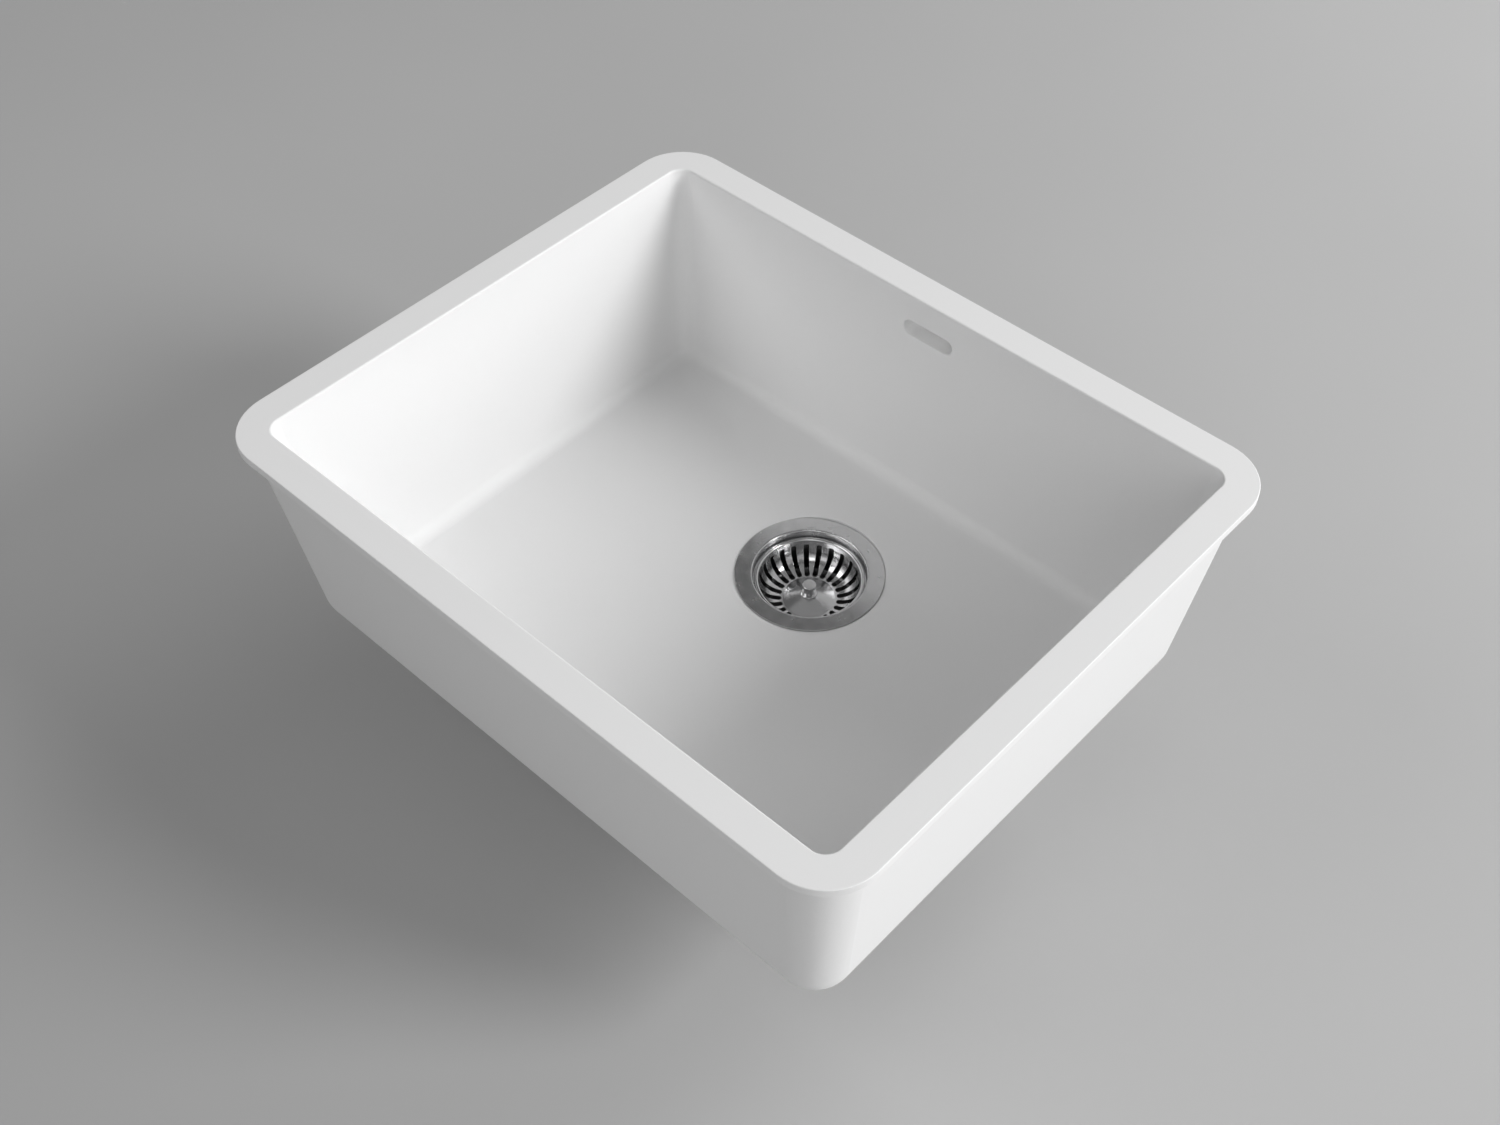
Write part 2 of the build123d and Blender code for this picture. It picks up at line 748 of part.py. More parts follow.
# Rubber ring and fluted nut at each end of the pipe
for end, joint in (("upper", upper_joint), ("lower", lower_joint)):
    with BuildPart() as pipe_seal:
        with BuildSketch(joint):
            Circle(spigot_radius)
            Circle(pipe_radius + running, mode=Mode.SUBTRACT)
        extrude(amount=joint_seal_height)
    save(pipe_seal, f"{end}_pipe_seal")

    with BuildPart() as pipe_nut:
        with BuildSketch(joint.offset(-nut_grip)):
            Circle(nut_radius)
            with PolarLocations(nut_radius + nut_flute_radius / 2, nut_flute_count):
                Circle(nut_flute_radius, mode=Mode.SUBTRACT)
        extrude(amount=nut_grip + joint_seal_height + nut_lip)
        with BuildSketch(joint.offset(-nut_grip)):
            Circle(nut_bore)
        extrude(amount=nut_grip + joint_seal_height, mode=Mode.SUBTRACT)
        with BuildSketch(joint):
            Circle(socket_bore)
        extrude(amount=joint_seal_height + nut_lip, mode=Mode.SUBTRACT)
    save(pipe_nut, f"{end}_pipe_nut")
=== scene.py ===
"""Finishes, fine pieces, lamps, floor and camera of an undermount kitchen sink.

Everything is in metres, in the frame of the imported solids.
"""

import json
import logging
import math
from dataclasses import dataclass, field
from enum import Enum
from typing import Any

import bmesh
import bpy
from mathutils import Matrix, Quaternion, Vector


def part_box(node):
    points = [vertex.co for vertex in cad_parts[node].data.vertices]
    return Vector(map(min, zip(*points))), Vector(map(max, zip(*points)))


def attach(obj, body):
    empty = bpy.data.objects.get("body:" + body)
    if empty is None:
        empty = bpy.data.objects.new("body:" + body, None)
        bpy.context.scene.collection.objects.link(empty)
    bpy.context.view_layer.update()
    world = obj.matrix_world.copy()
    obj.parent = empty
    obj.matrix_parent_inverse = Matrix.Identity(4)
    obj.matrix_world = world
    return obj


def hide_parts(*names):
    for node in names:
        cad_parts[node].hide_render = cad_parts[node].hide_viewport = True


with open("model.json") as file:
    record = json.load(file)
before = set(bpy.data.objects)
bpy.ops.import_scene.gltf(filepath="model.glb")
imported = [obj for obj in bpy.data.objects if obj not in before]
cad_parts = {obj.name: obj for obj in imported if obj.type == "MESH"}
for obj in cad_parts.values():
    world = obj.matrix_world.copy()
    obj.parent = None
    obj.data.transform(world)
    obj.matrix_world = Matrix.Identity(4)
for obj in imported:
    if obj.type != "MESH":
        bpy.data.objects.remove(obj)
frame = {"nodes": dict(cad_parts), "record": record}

LOG = logging.getLogger("sink")
Pair = tuple[float, float]
Triple = tuple[float, float, float]
DRAIN_CENTRE: Triple = (0.0, 0.075, 0.0)
FLANGE_TOP = -0.1818
NOISE_LOW, NOISE_HIGH = 0.3, 0.7
EDGE_STEPS = 2


class Slot(Enum):
    """Material slots of the record."""

    COMPOSITE = "white_composite"
    SATIN_STEEL = "satin_steel"
    POLISHED_STEEL = "polished_steel"
    RUBBER = "black_rubber"
    PLASTIC = "white_plastic"
    BRASS = "brass"


class Body(Enum):
    """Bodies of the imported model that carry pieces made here."""

    SINK = "sink"
    BASKET = "basket"


class Board:
    """Node tree with a short way to add and join its nodes."""

    def __init__(self, tree: bpy.types.NodeTree) -> None:
        """Take over a tree.

        Args:
            tree: The tree to fill.
        """
        self.tree = tree

    def add(self, kind: str, inputs: dict[Any, Any] | None = None, **settings: Any) -> bpy.types.Node:
        """Add a node.

        Args:
            kind: Type name of the node.
            inputs: Values or sockets for its inputs, by name or number.
            settings: Properties of the node.

        Returns:
            The new node.
        """
        node = self.tree.nodes.new(kind)
        for key, value in settings.items():
            setattr(node, key, value)
        for key, value in (inputs or {}).items():
            if isinstance(value, bpy.types.NodeSocket):
                self.tree.links.new(value, node.inputs[key])
            else:
                node.inputs[key].default_value = value
        return node


class Sheet(Board):
    """Node tree of one material."""

    def __init__(self, name: str) -> None:
        """Start an empty material.

        Args:
            name: Name of the material.
        """
        self.material = bpy.data.materials.new(name)
        self.material.use_nodes = True
        super().__init__(self.material.node_tree)
        self.tree.nodes.clear()

    def place(self) -> bpy.types.NodeSocket:
        """Object coordinates of the shaded point."""
        return self.add("ShaderNodeTexCoord").outputs["Object"]

    def noise(self, vector: bpy.types.NodeSocket, scale: float, detail: float = 3.0) -> bpy.types.NodeSocket:
        """Add a noise.

        Args:
            vector: Where it is read.
            scale: Cells in a metre.
            detail: Octaves.

        Returns:
            Its value from 0 to 1.
        """
        node = self.add("ShaderNodeTexNoise", {"Vector": vector, "Scale": scale, "Detail": detail})
        return node.outputs["Fac"]

    def span(self, value: bpy.types.NodeSocket, low: float, high: float) -> bpy.types.NodeSocket:
        """Map the middle of a noise to a range.

        Args:
            value: Noise from 0 to 1.
            low: Lowest result.
            high: Highest result.

        Returns:
            The mapped value.
        """
        node = self.add(
            "ShaderNodeMapRange",
            {"Value": value, "From Min": NOISE_LOW, "From Max": NOISE_HIGH, "To Min": low, "To Max": high},
        )
        return node.outputs["Result"]

    def tint(self, value: bpy.types.NodeSocket, dark: Triple, light: Triple) -> bpy.types.NodeSocket:
        """Blend two colours by a noise.

        Args:
            value: Noise from 0 to 1.
            dark: Colour at its low end.
            light: Colour at its high end.

        Returns:
            The blended colour.
        """
        node = self.add("ShaderNodeValToRGB", {"Fac": value})
        first, last = node.color_ramp.elements
        first.position, last.position = NOISE_LOW, NOISE_HIGH
        first.color = (*dark, 1.0)
        last.color = (*light, 1.0)
        return node.outputs["Color"]

    def bump(
        self, height: bpy.types.NodeSocket, distance: float, under: bpy.types.NodeSocket | None = None
    ) -> bpy.types.NodeSocket:
        """Turn a height into a bent normal.

        Args:
            height: Height from 0 to 1.
            distance: Height of 1 in metres.
            under: Normal of a coarser bump.

        Returns:
            The normal.
        """
        inputs: dict[str, Any] = {"Height": height, "Distance": distance, "Strength": 1.0}
        if under is not None:
            inputs["Normal"] = under
        return self.add("ShaderNodeBump", inputs).outputs["Normal"]

    def vector(self, operation: str, inputs: dict[Any, Any]) -> bpy.types.NodeSocket:
        """Add a vector operation.

        Args:
            operation: Name of the operation.
            inputs: Its inputs.

        Returns:
            The resulting vector.
        """
        return self.add("ShaderNodeVectorMath", inputs, operation=operation).outputs["Vector"]

    def from_drain(self) -> bpy.types.NodeSocket:
        """Way from the drain's axis to the shaded point."""
        return self.vector("SUBTRACT", {0: self.place(), 1: DRAIN_CENTRE})

    def around(self) -> bpy.types.NodeSocket:
        """Direction around the drain's axis, along the marks of turned metal."""
        across = self.vector("CROSS_PRODUCT", {0: (0.0, 0.0, 1.0), 1: self.from_drain()})
        turned = self.add(
            "ShaderNodeVectorTransform", {"Vector": across}, convert_from="OBJECT", convert_to="WORLD"
        ).outputs["Vector"]
        return self.vector("NORMALIZE", {0: turned})

    def rings(self, scale: float, cells: float) -> bpy.types.NodeSocket:
        """Coordinates that change fast away from the drain's axis and slowly around it.

        Args:
            scale: Fine rings in a metre.
            cells: Noise cells in a radian around the axis.

        Returns:
            The coordinates.
        """
        offset = self.from_drain()
        flat = self.vector("MULTIPLY", {0: offset, 1: (1.0, 1.0, 0.0)})
        radius = self.add("ShaderNodeVectorMath", {0: flat}, operation="LENGTH").outputs["Value"]
        height = self.add("ShaderNodeSeparateXYZ", {0: offset}).outputs["Z"]
        across = self.add("ShaderNodeMath", {0: radius, 1: height}, operation="ADD").outputs["Value"]
        fine = self.add("ShaderNodeMath", {0: across, 1: scale}, operation="MULTIPLY").outputs["Value"]
        along = self.vector("SCALE", {0: self.vector("NORMALIZE", {0: flat}), "Scale": cells})
        parts = self.add("ShaderNodeSeparateXYZ", {0: along}).outputs
        joined = self.add("ShaderNodeCombineXYZ", {"X": parts["X"], "Y": parts["Y"], "Z": fine})
        return joined.outputs["Vector"]

    def painted_shade_below(
        self, colour: bpy.types.NodeSocket, level: float, share: float, fade: float
    ) -> bpy.types.NodeSocket:
        """Darken a colour below a level: painted shade deep inside the drawn cup.

        Args:
            colour: Colour above the level.
            level: Height at which the change starts.
            share: Part of the colour that is left below.
            fade: Height over which the change runs.

        Returns:
            The changed colour.
        """
        # Painted shade: the colour is scaled down with depth, where shade falls deep in the cup.
        height = self.add("ShaderNodeSeparateXYZ", {0: self.place()}).outputs["Z"]
        left = self.add(
            "ShaderNodeMapRange",
            {"Value": height, "From Min": level - fade, "From Max": level, "To Min": share, "To Max": 1.0},
        ).outputs["Result"]
        return self.vector("SCALE", {0: colour, "Scale": left})

    def close(self, **inputs: Any) -> bpy.types.Material:
        """Add the surface shader and the output.

        Args:
            inputs: Values or sockets of the shader, with underscores for spaces.

        Returns:
            The finished material.
        """
        named = {key.replace("_", " "): value for key, value in inputs.items()}
        shader = self.add("ShaderNodeBsdfPrincipled", named)
        self.add("ShaderNodeOutputMaterial", {"Surface": shader.outputs["BSDF"]})
        return self.material


@dataclass(frozen=True)
class CompositeFinish:
    """White moulded composite: matt skin with a fine mineral grain."""

    name: str = "composite"
    white: Triple = (0.8, 0.8, 0.8)
    grain: Triple = (0.785, 0.785, 0.786)
    grain_scale: float = 1600.0
    skin_scale: float = 900.0
    skin_height: float = 4.0e-6
    wave_scale: float = 30.0
    wave_height: float = 4.0e-5
    smooth: float = 0.64
    rough: float = 0.74

    def make(self) -> bpy.types.Material:
        """Build the material."""
        sheet = Sheet(self.name)
        place = sheet.place()
        colour = sheet.tint(sheet.noise(place, self.grain_scale, 4.0), self.grain, self.white)
        wave = sheet.bump(sheet.noise(place, self.wave_scale, 1.0), self.wave_height)
        skin = sheet.noise(place, self.skin_scale, 2.0)
        return sheet.close(
            Base_Color=colour,
            Roughness=sheet.span(skin, self.smooth, self.rough),
            Normal=sheet.bump(skin, self.skin_height, wave),
            IOR=1.5,
        )


@dataclass(frozen=True)
class SteelFinish:
    """Stainless steel with fine turned rings about the drain's axis."""

    name: str
    tone: Triple = (0.69, 0.69, 0.695)
    shade: Triple = (0.655, 0.655, 0.66)
    ring_scale: float = 5200.0
    ring_cells: float = 1.5
    ring_height: float = 6.0e-7
    smear_scale: float = 120.0
    smooth: float = 0.2
    rough: float = 0.28
    anisotropy: float = 0.35
    # Painted shade in a recess: below this height the colour is darkened.
    painted_shade_level: float | None = None
    painted_shade_share: float = 0.2
    painted_shade_fade: float = 0.004

    def make(self) -> bpy.types.Material:
        """Build the material."""
        sheet = Sheet(self.name)
        rings = sheet.noise(sheet.rings(self.ring_scale, self.ring_cells), 1.0, 2.0)
        smear = sheet.noise(sheet.place(), self.smear_scale, 3.0)
        colour = sheet.tint(rings, self.shade, self.tone)
        # Painted shade deep in the flange's cup.
        if self.painted_shade_level is not None:
            colour = sheet.painted_shade_below(colour, self.painted_shade_level, self.painted_shade_share, self.painted_shade_fade)
        return sheet.close(
            Base_Color=colour,
            Metallic=1.0,
            Roughness=sheet.span(smear, self.smooth, self.rough),
            Normal=sheet.bump(rings, self.ring_height),
            Anisotropic=self.anisotropy,
            Anisotropic_Rotation=0.25,
            Tangent=sheet.around(),
        )


@dataclass(frozen=True)
class MouldedFinish:
    """Moulded plastic or rubber with a fine spark-eroded skin."""

    name: str
    tone: Triple
    shade: Triple
    cloud_scale: float = 60.0
    skin_scale: float = 1500.0
    skin_height: float = 1.2e-5
    smooth: float = 0.4
    rough: float = 0.52
    milky: float = 0.0
    milk_depth: float = 0.006
    clear: float = 0.0

    def make(self) -> bpy.types.Material:
        """Build the material."""
        sheet = Sheet(self.name)
        place = sheet.place()
        skin = sheet.noise(place, self.skin_scale, 3.0)
        return sheet.close(
            Base_Color=sheet.tint(sheet.noise(place, self.cloud_scale, 4.0), self.shade, self.tone),
            Roughness=sheet.span(skin, self.smooth, self.rough),
            Normal=sheet.bump(skin, self.skin_height),
            Subsurface_Weight=self.milky,
            Subsurface_Scale=self.milk_depth,
            Subsurface_Radius=(1.0, 1.0, 1.0),
            Transmission_Weight=self.clear,
        )


@dataclass(frozen=True)
class BrassFinish:
    """Turned brass of the threaded inserts."""

    name: str = "brass"
    tone: Triple = (0.74, 0.56, 0.29)
    shade: Triple = (0.62, 0.45, 0.22)
    stain_scale: float = 250.0
    smooth: float = 0.25
    rough: float = 0.4

    def make(self) -> bpy.types.Material:
        """Build the material."""
        sheet = Sheet(self.name)
        stain = sheet.noise(sheet.place(), self.stain_scale, 4.0)
        return sheet.close(
            Base_Color=sheet.tint(stain, self.shade, self.tone),
            Metallic=1.0,
            Roughness=sheet.span(stain, self.smooth, self.rough),
        )


@dataclass(frozen=True)
class FloorFinish:
    """Plain matt floor."""

    name: str = "floor"
    tone: Triple = (0.46, 0.46, 0.46)
    shade: Triple = (0.45, 0.45, 0.45)
    cloud_scale: float = 3.0

    def make(self) -> bpy.types.Material:
        """Build the material."""
        sheet = Sheet(self.name)
        cloud = sheet.noise(sheet.place(), self.cloud_scale, 2.0)
        return sheet.close(Base_Color=sheet.tint(cloud, self.shade, self.tone), Roughness=0.85)


@dataclass
class Finishes:
    """All finishes of the object: one for each slot of the record, and those of single pieces."""

    # Depth below the flange's top at which the painted shade in the cup begins.
    painted_shade_depth: float = 0.009
    made: dict[Slot, bpy.types.Material] = field(default_factory=dict)
    frosted: bpy.types.Material | None = None
    flange: bpy.types.Material | None = None

    def build(self) -> None:
        """Make every material once."""
        self.frosted = MouldedFinish(
            "frosted_plastic", (0.97, 0.97, 0.965), (0.94, 0.94, 0.935), smooth=0.45, rough=0.55, clear=0.85
        ).make()
        self.flange = SteelFinish("flange_steel", painted_shade_level=FLANGE_TOP - self.painted_shade_depth).make()
        self.made[Slot.COMPOSITE] = CompositeFinish().make()
        self.made[Slot.SATIN_STEEL] = SteelFinish("satin_steel").make()
        self.made[Slot.POLISHED_STEEL] = SteelFinish(
            "polished_steel",
            tone=(0.72, 0.72, 0.725),
            shade=(0.66, 0.66, 0.665),
            smooth=0.16,
            rough=0.22,
        ).make()
        self.made[Slot.RUBBER] = MouldedFinish(
            "rubber", (0.03, 0.03, 0.03), (0.02, 0.02, 0.02), rough=0.7
        ).make()
        self.made[Slot.PLASTIC] = MouldedFinish(
            "plastic", (0.86, 0.86, 0.855), (0.83, 0.83, 0.825), milky=1.0
        ).make()
        self.made[Slot.BRASS] = BrassFinish().make()

    def dress(self, nodes: dict[str, bpy.types.Object], record: dict[str, Any]) -> None:
        """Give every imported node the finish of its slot.

        Args:
            nodes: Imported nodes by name.
            record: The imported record.
        """
        for part in record["subparts"]:
            slot = Slot(part["material_slot"])
            node = nodes[part["node"]]
            node.data.materials.clear()
            node.data.materials.append(self.made[slot])
            LOG.info("dressed %s in %s", node.name, slot.value)


def spread(first: float, last: float, steps: int) -> list[float]:
    """Even steps from one value to another.

    Args:
        first: First value.
        last: Last value.
        steps: Number of steps.

    Returns:
        All values, both ends among them.
    """
    return [first + (last - first) * step / steps for step in range(steps + 1)]


def rounded_path(corners: list[Triple], steps: int) -> list[Pair]:
    """Walk along straight runs whose corners are rounded.

    Args:
        corners: Radius from the axis, depth, and the corner's own rounding.
        steps: Steps of each rounding.

    Returns:
        Radius and depth of each point of the path.
    """
    points: list[Pair] = []
    for number, (radius, depth, rounding) in enumerate(corners):
        here = Vector((radius, depth))
        if rounding == 0.0:
            points.append((radius, depth))
            continue
        back = (Vector(corners[number - 1][:2]) - here).normalized()
        ahead = (Vector(corners[number + 1][:2]) - here).normalized()
        half = back.angle(ahead) / 2
        reach = rounding / math.tan(half)
        centre = here + (back + ahead).normalized() * (rounding / math.sin(half))
        start = here + back * reach - centre
        end = here + ahead * reach - centre
        turn = math.atan2(start.cross(end), start.dot(end))
        for share in spread(0.0, 1.0, steps):
            point = centre + Matrix.Rotation(turn * share, 2) @ start
            points.append((point.x, point.y))
    return points


def put(name: str, mesh: bpy.types.Mesh) -> bpy.types.Object:
    """Put a mesh in the scene as a piece.

    Args:
        name: Name of the piece.
        mesh: Its mesh.

    Returns:
        The piece.
    """
    piece = bpy.data.objects.new(name, mesh)
    bpy.context.scene.collection.objects.link(piece)
    return piece


def settle(piece: bpy.types.Object) -> None:
    """Turn a piece's modifiers into plain mesh with one material.

    Args:
        piece: Piece with live modifiers.
    """
    graph = bpy.context.evaluated_depsgraph_get()
    mesh = bpy.data.meshes.new_from_object(piece.evaluated_get(graph))
    finish = next(material for material in mesh.materials if material)
    mesh.materials.clear()
    mesh.materials.append(finish)
    mesh.polygons.foreach_set("material_index", [0] * len(mesh.polygons))
    piece.modifiers.clear()
    piece.data = mesh


def seat(piece: bpy.types.Object, body: Body, slot: Slot, *nodes: str) -> None:
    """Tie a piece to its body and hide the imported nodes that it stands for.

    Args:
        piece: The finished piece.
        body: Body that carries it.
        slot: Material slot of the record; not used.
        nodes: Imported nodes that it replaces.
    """
    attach(piece, body.value)
    if nodes:
        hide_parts(*nodes)
    LOG.info("built %s on %s", piece.name, body.value)


class RingTree(Board):
    """Geometry tree that repeats one sector around the drain's axis and joins the copies."""

    weld_reach = 5.0e-6

    def __init__(self) -> None:
        """Build the tree with its named inputs."""
        super().__init__(bpy.data.node_groups.new("ring_of_sectors", "GeometryNodeTree"))
        face = self.tree.interface
        face.new_socket("Sector", in_out="INPUT", socket_type="NodeSocketGeometry")
        self.count = face.new_socket("Count", in_out="INPUT", socket_type="NodeSocketInt").identifier
        self.centre = face.new_socket("Centre", in_out="INPUT", socket_type="NodeSocketVector").identifier
        self.weld = face.new_socket("Weld", in_out="INPUT", socket_type="NodeSocketFloat").identifier
        self.finish = face.new_socket("Finish", in_out="INPUT", socket_type="NodeSocketMaterial").identifier
        face.new_socket("Ring", in_out="OUTPUT", socket_type="NodeSocketGeometry")
        given = self.add("NodeGroupInput").outputs
        places = self.add(
            "GeometryNodeMeshLine",
            {"Count": given["Count"], "Start Location": given["Centre"], "Offset": (0.0, 0.0, 0.0)},
        ).outputs["Mesh"]
        step = self.add(
            "ShaderNodeMath", {0: math.tau, 1: given["Count"]}, operation="DIVIDE"
        ).outputs["Value"]
        index = self.add("GeometryNodeInputIndex").outputs["Index"]
        turn = self.add("ShaderNodeMath", {0: index, 1: step}, operation="MULTIPLY").outputs["Value"]
        angles = self.add("ShaderNodeCombineXYZ", {"Z": turn}).outputs["Vector"]
        rotation = self.add("FunctionNodeEulerToRotation", {"Euler": angles}).outputs["Rotation"]
        copies = self.add(
            "GeometryNodeInstanceOnPoints",
            {"Points": places, "Instance": given["Sector"], "Rotation": rotation},
        ).outputs["Instances"]
        whole = self.add("GeometryNodeRealizeInstances", {"Geometry": copies}).outputs["Geometry"]
        joined = self.add(
            "GeometryNodeMergeByDistance", {"Geometry": whole, "Distance": given["Weld"]}
        ).outputs["Geometry"]
        dressed = self.add("GeometryNodeSetMaterial", {"Geometry": joined, "Material": given["Finish"]})
        self.add("NodeGroupOutput", {"Ring": dressed.outputs["Geometry"]})

    def repeat(self, piece: bpy.types.Object, count: int, finish: bpy.types.Material) -> None:
        """Turn a piece's sector into a whole ring.

        Args:
            piece: Piece that holds one sector, made about the world's upright axis.
            count: Sectors in the ring.
            finish: Material of the ring.
        """
        ring = piece.modifiers.new("ring", "NODES")
        ring.node_group = self.tree
        ring[self.count] = count
        ring[self.centre] = DRAIN_CENTRE
        ring[self.weld] = self.weld_reach
        ring[self.finish] = finish
        settle(piece)


class WindingTree(Board):
    """Geometry tree that winds a pointed ridge around an upright axis."""

    steps_in_turn = 64
    ridge_sides = 4

    def __init__(self) -> None:
        """Build the tree with its named inputs."""
        super().__init__(bpy.data.node_groups.new("wound_ridge", "GeometryNodeTree"))
        face = self.tree.interface
        self.turns = face.new_socket("Turns", in_out="INPUT", socket_type="NodeSocketFloat").identifier
        self.radius = face.new_socket("Radius", in_out="INPUT", socket_type="NodeSocketFloat").identifier
        self.ridge = face.new_socket("Ridge", in_out="INPUT", socket_type="NodeSocketFloat").identifier
        self.height = face.new_socket("Height", in_out="INPUT", socket_type="NodeSocketFloat").identifier
        self.foot = face.new_socket("Foot", in_out="INPUT", socket_type="NodeSocketVector").identifier
        self.finish = face.new_socket("Finish", in_out="INPUT", socket_type="NodeSocketMaterial").identifier
        face.new_socket("Ridge", in_out="OUTPUT", socket_type="NodeSocketGeometry")
        given = self.add("NodeGroupInput").outputs
        spiral = self.add(
            "GeometryNodeCurveSpiral",
            {
                "Resolution": self.steps_in_turn,
                "Rotations": given["Turns"],
                "Start Radius": given["Radius"],
                "End Radius": given["Radius"],
                "Height": given["Height"],
            },
        ).outputs["Curve"]
        upright = self.add("GeometryNodeSetCurveNormal", {"Curve": spiral}, mode="Z_UP").outputs["Curve"]
        profile = self.add(
            "GeometryNodeCurvePrimitiveCircle", {"Resolution": self.ridge_sides, "Radius": given["Ridge"]}
        )
        wound = self.add(
            "GeometryNodeCurveToMesh",
            {"Curve": upright, "Profile Curve": profile.outputs["Curve"], "Fill Caps": True},
        ).outputs["Mesh"]
        placed = self.add(
            "GeometryNodeTransform", {"Geometry": wound, "Translation": given["Foot"]}
        ).outputs["Geometry"]
        whole = self.add("GeometryNodeRealizeInstances", {"Geometry": placed}).outputs["Geometry"]
        dressed = self.add("GeometryNodeSetMaterial", {"Geometry": whole, "Material": given["Finish"]})
        self.add("NodeGroupOutput", {"Ridge": dressed.outputs["Geometry"]})

    def wind(self, piece: bpy.types.Object, values: dict[str, Any]) -> None:
        """Fill a piece with the ridge.

        Args:
            piece: Piece with an empty mesh.
            values: Values of the inputs, by identifier.
        """
        winding = piece.modifiers.new("winding", "NODES")
        winding.node_group = self.tree
        for key, value in values.items():
            winding[key] = value
        settle(piece)


@dataclass(frozen=True)
class Row:
    """One ring of a turned sheet, with half of the slot's angle and whether the slot goes on below it."""

    radius: float
    depth: float
    slot: float
    cut: bool = False


@dataclass
class SlottedSheet:
    """Thin turned sheet with a ring of slots, made from one sector that is repeated."""

    name: str
    count: int
    sheet: float
    edge: float
    side_steps: int
    middle_steps: int
    edge_angle: float = 50.0
    sharp_angle: float = 55.0

    def rows(self) -> list[Row]:
        """Rings of the upper face, from the rim inwards."""
        raise NotImplementedError

    def sector(self) -> bpy.types.Mesh:
        """Mesh of the upper face's sector, with its slot in the middle."""
        half = math.pi / self.count
        first, last = self.side_steps, self.side_steps + self.middle_steps
        rows = self.rows()
        shape = bmesh.new()
        grid: list[list[bmesh.types.BMVert]] = []
        for row in rows:
            angles = spread(-half, -row.slot, self.side_steps)
            angles += spread(-row.slot, row.slot, self.middle_steps)[1:]
            angles += spread(row.slot, half, self.side_steps)[1:]
            level = FLANGE_TOP - row.depth
            grid.append(
                [shape.verts.new((row.radius * math.cos(a), row.radius * math.sin(a), level)) for a in angles]
            )
        for row, upper, lower in zip(rows, grid, grid[1:]):
            for column in range(len(upper) - 1):
                if row.cut and first <= column < last:
                    continue
                shape.faces.new((upper[column], upper[column + 1], lower[column + 1], lower[column]))
        loose = [vert for vert in shape.verts if not vert.link_faces]
        bmesh.ops.delete(shape, geom=loose, context="VERTS")
        mesh = bpy.data.meshes.new(self.name)
        shape.to_mesh(mesh)
        shape.free()
        return mesh

    def build(self, ring: RingTree, finish: bpy.types.Material) -> bpy.types.Object:
        """Make the whole sheet with its thickness and its soft edges.

        Args:
            ring: Tree that repeats the sector.
            finish: Material of the sheet.

        Returns:
            The finished piece.
        """
        piece = put(self.name, self.sector())
        ring.repeat(piece, self.count, finish)
        wall = piece.modifiers.new("wall", "SOLIDIFY")
        wall.thickness = self.sheet
        wall.offset = -1.0
        wall.use_even_offset = True
        edge = piece.modifiers.new("edge", "BEVEL")
        edge.width = self.edge
        edge.segments = EDGE_STEPS
        edge.limit_method = "ANGLE"
        edge.angle_limit = math.radians(self.edge_angle)
        settle(piece)
        piece.data.shade_smooth()
        piece.data.set_sharp_from_angle(angle=math.radians(self.sharp_angle))
        return piece


@dataclass
class StrainerFlange(SlottedSheet):
    """Stainless flange and cup, with kidney slots in the cup's bottom."""

    name: str = "flange_sheet"
    count: int = 6
    sheet: float = 0.001
    edge: float = 0.0003
    side_steps: int = 10
    middle_steps: int = 8
    radius: float = 0.05685
    mouth: float = 0.0435
    mouth_round: float = 0.0012
    ledge_depth: float = 0.0082
    ledge_round: float = 0.0006
    cup: float = 0.0406
    cup_foot: float = 0.0396
    cup_depth: float = 0.04
    cup_corner: float = 0.005
    hole: float = 0.0051
    slot_radius: float = 0.018
    slot_width: float = 0.009
    slot_angle: float = 22.0
    slot_margin: float = 0.0018
    slot_steps: int = 14
    round_steps: int = 6

    def rows(self) -> list[Row]:
        """Rings from the flange's edge down the cup to the hole of the screw."""
        start = math.radians(self.slot_angle) / 2
        reach = self.slot_width / 2
        corners = [
            (self.radius, 0.0, 0.0),
            (self.radius - 2 * self.edge, 0.0, 0.0),
            ((self.radius + self.mouth) / 2, 0.0, 0.0),
            (self.mouth + 2 * self.mouth_round, 0.0, 0.0),
            (self.mouth, 0.0, self.mouth_round),
            (self.mouth, self.ledge_depth, self.ledge_round),
            (self.cup, self.ledge_depth, self.ledge_round),
            (self.cup_foot, self.cup_depth, self.cup_corner),
            (self.slot_radius + reach + self.slot_margin, self.cup_depth, 0.0),
        ]
        rows = [Row(radius, depth, start) for radius, depth in rounded_path(corners, self.round_steps)]
        turns = spread(0.0, math.pi, self.slot_steps)
        for turn in turns:
            radius = self.slot_radius + reach * math.cos(turn)
            share = (radius**2 + self.slot_radius**2 - reach**2) / (2 * radius * self.slot_radius)
            rows.append(Row(radius, self.cup_depth, start + math.acos(min(1.0, share)), turn < turns[-1]))
        rows.append(Row(self.slot_radius - reach - self.slot_margin, self.cup_depth, start))
        rows.append(Row(self.hole, self.cup_depth, start))
        return rows


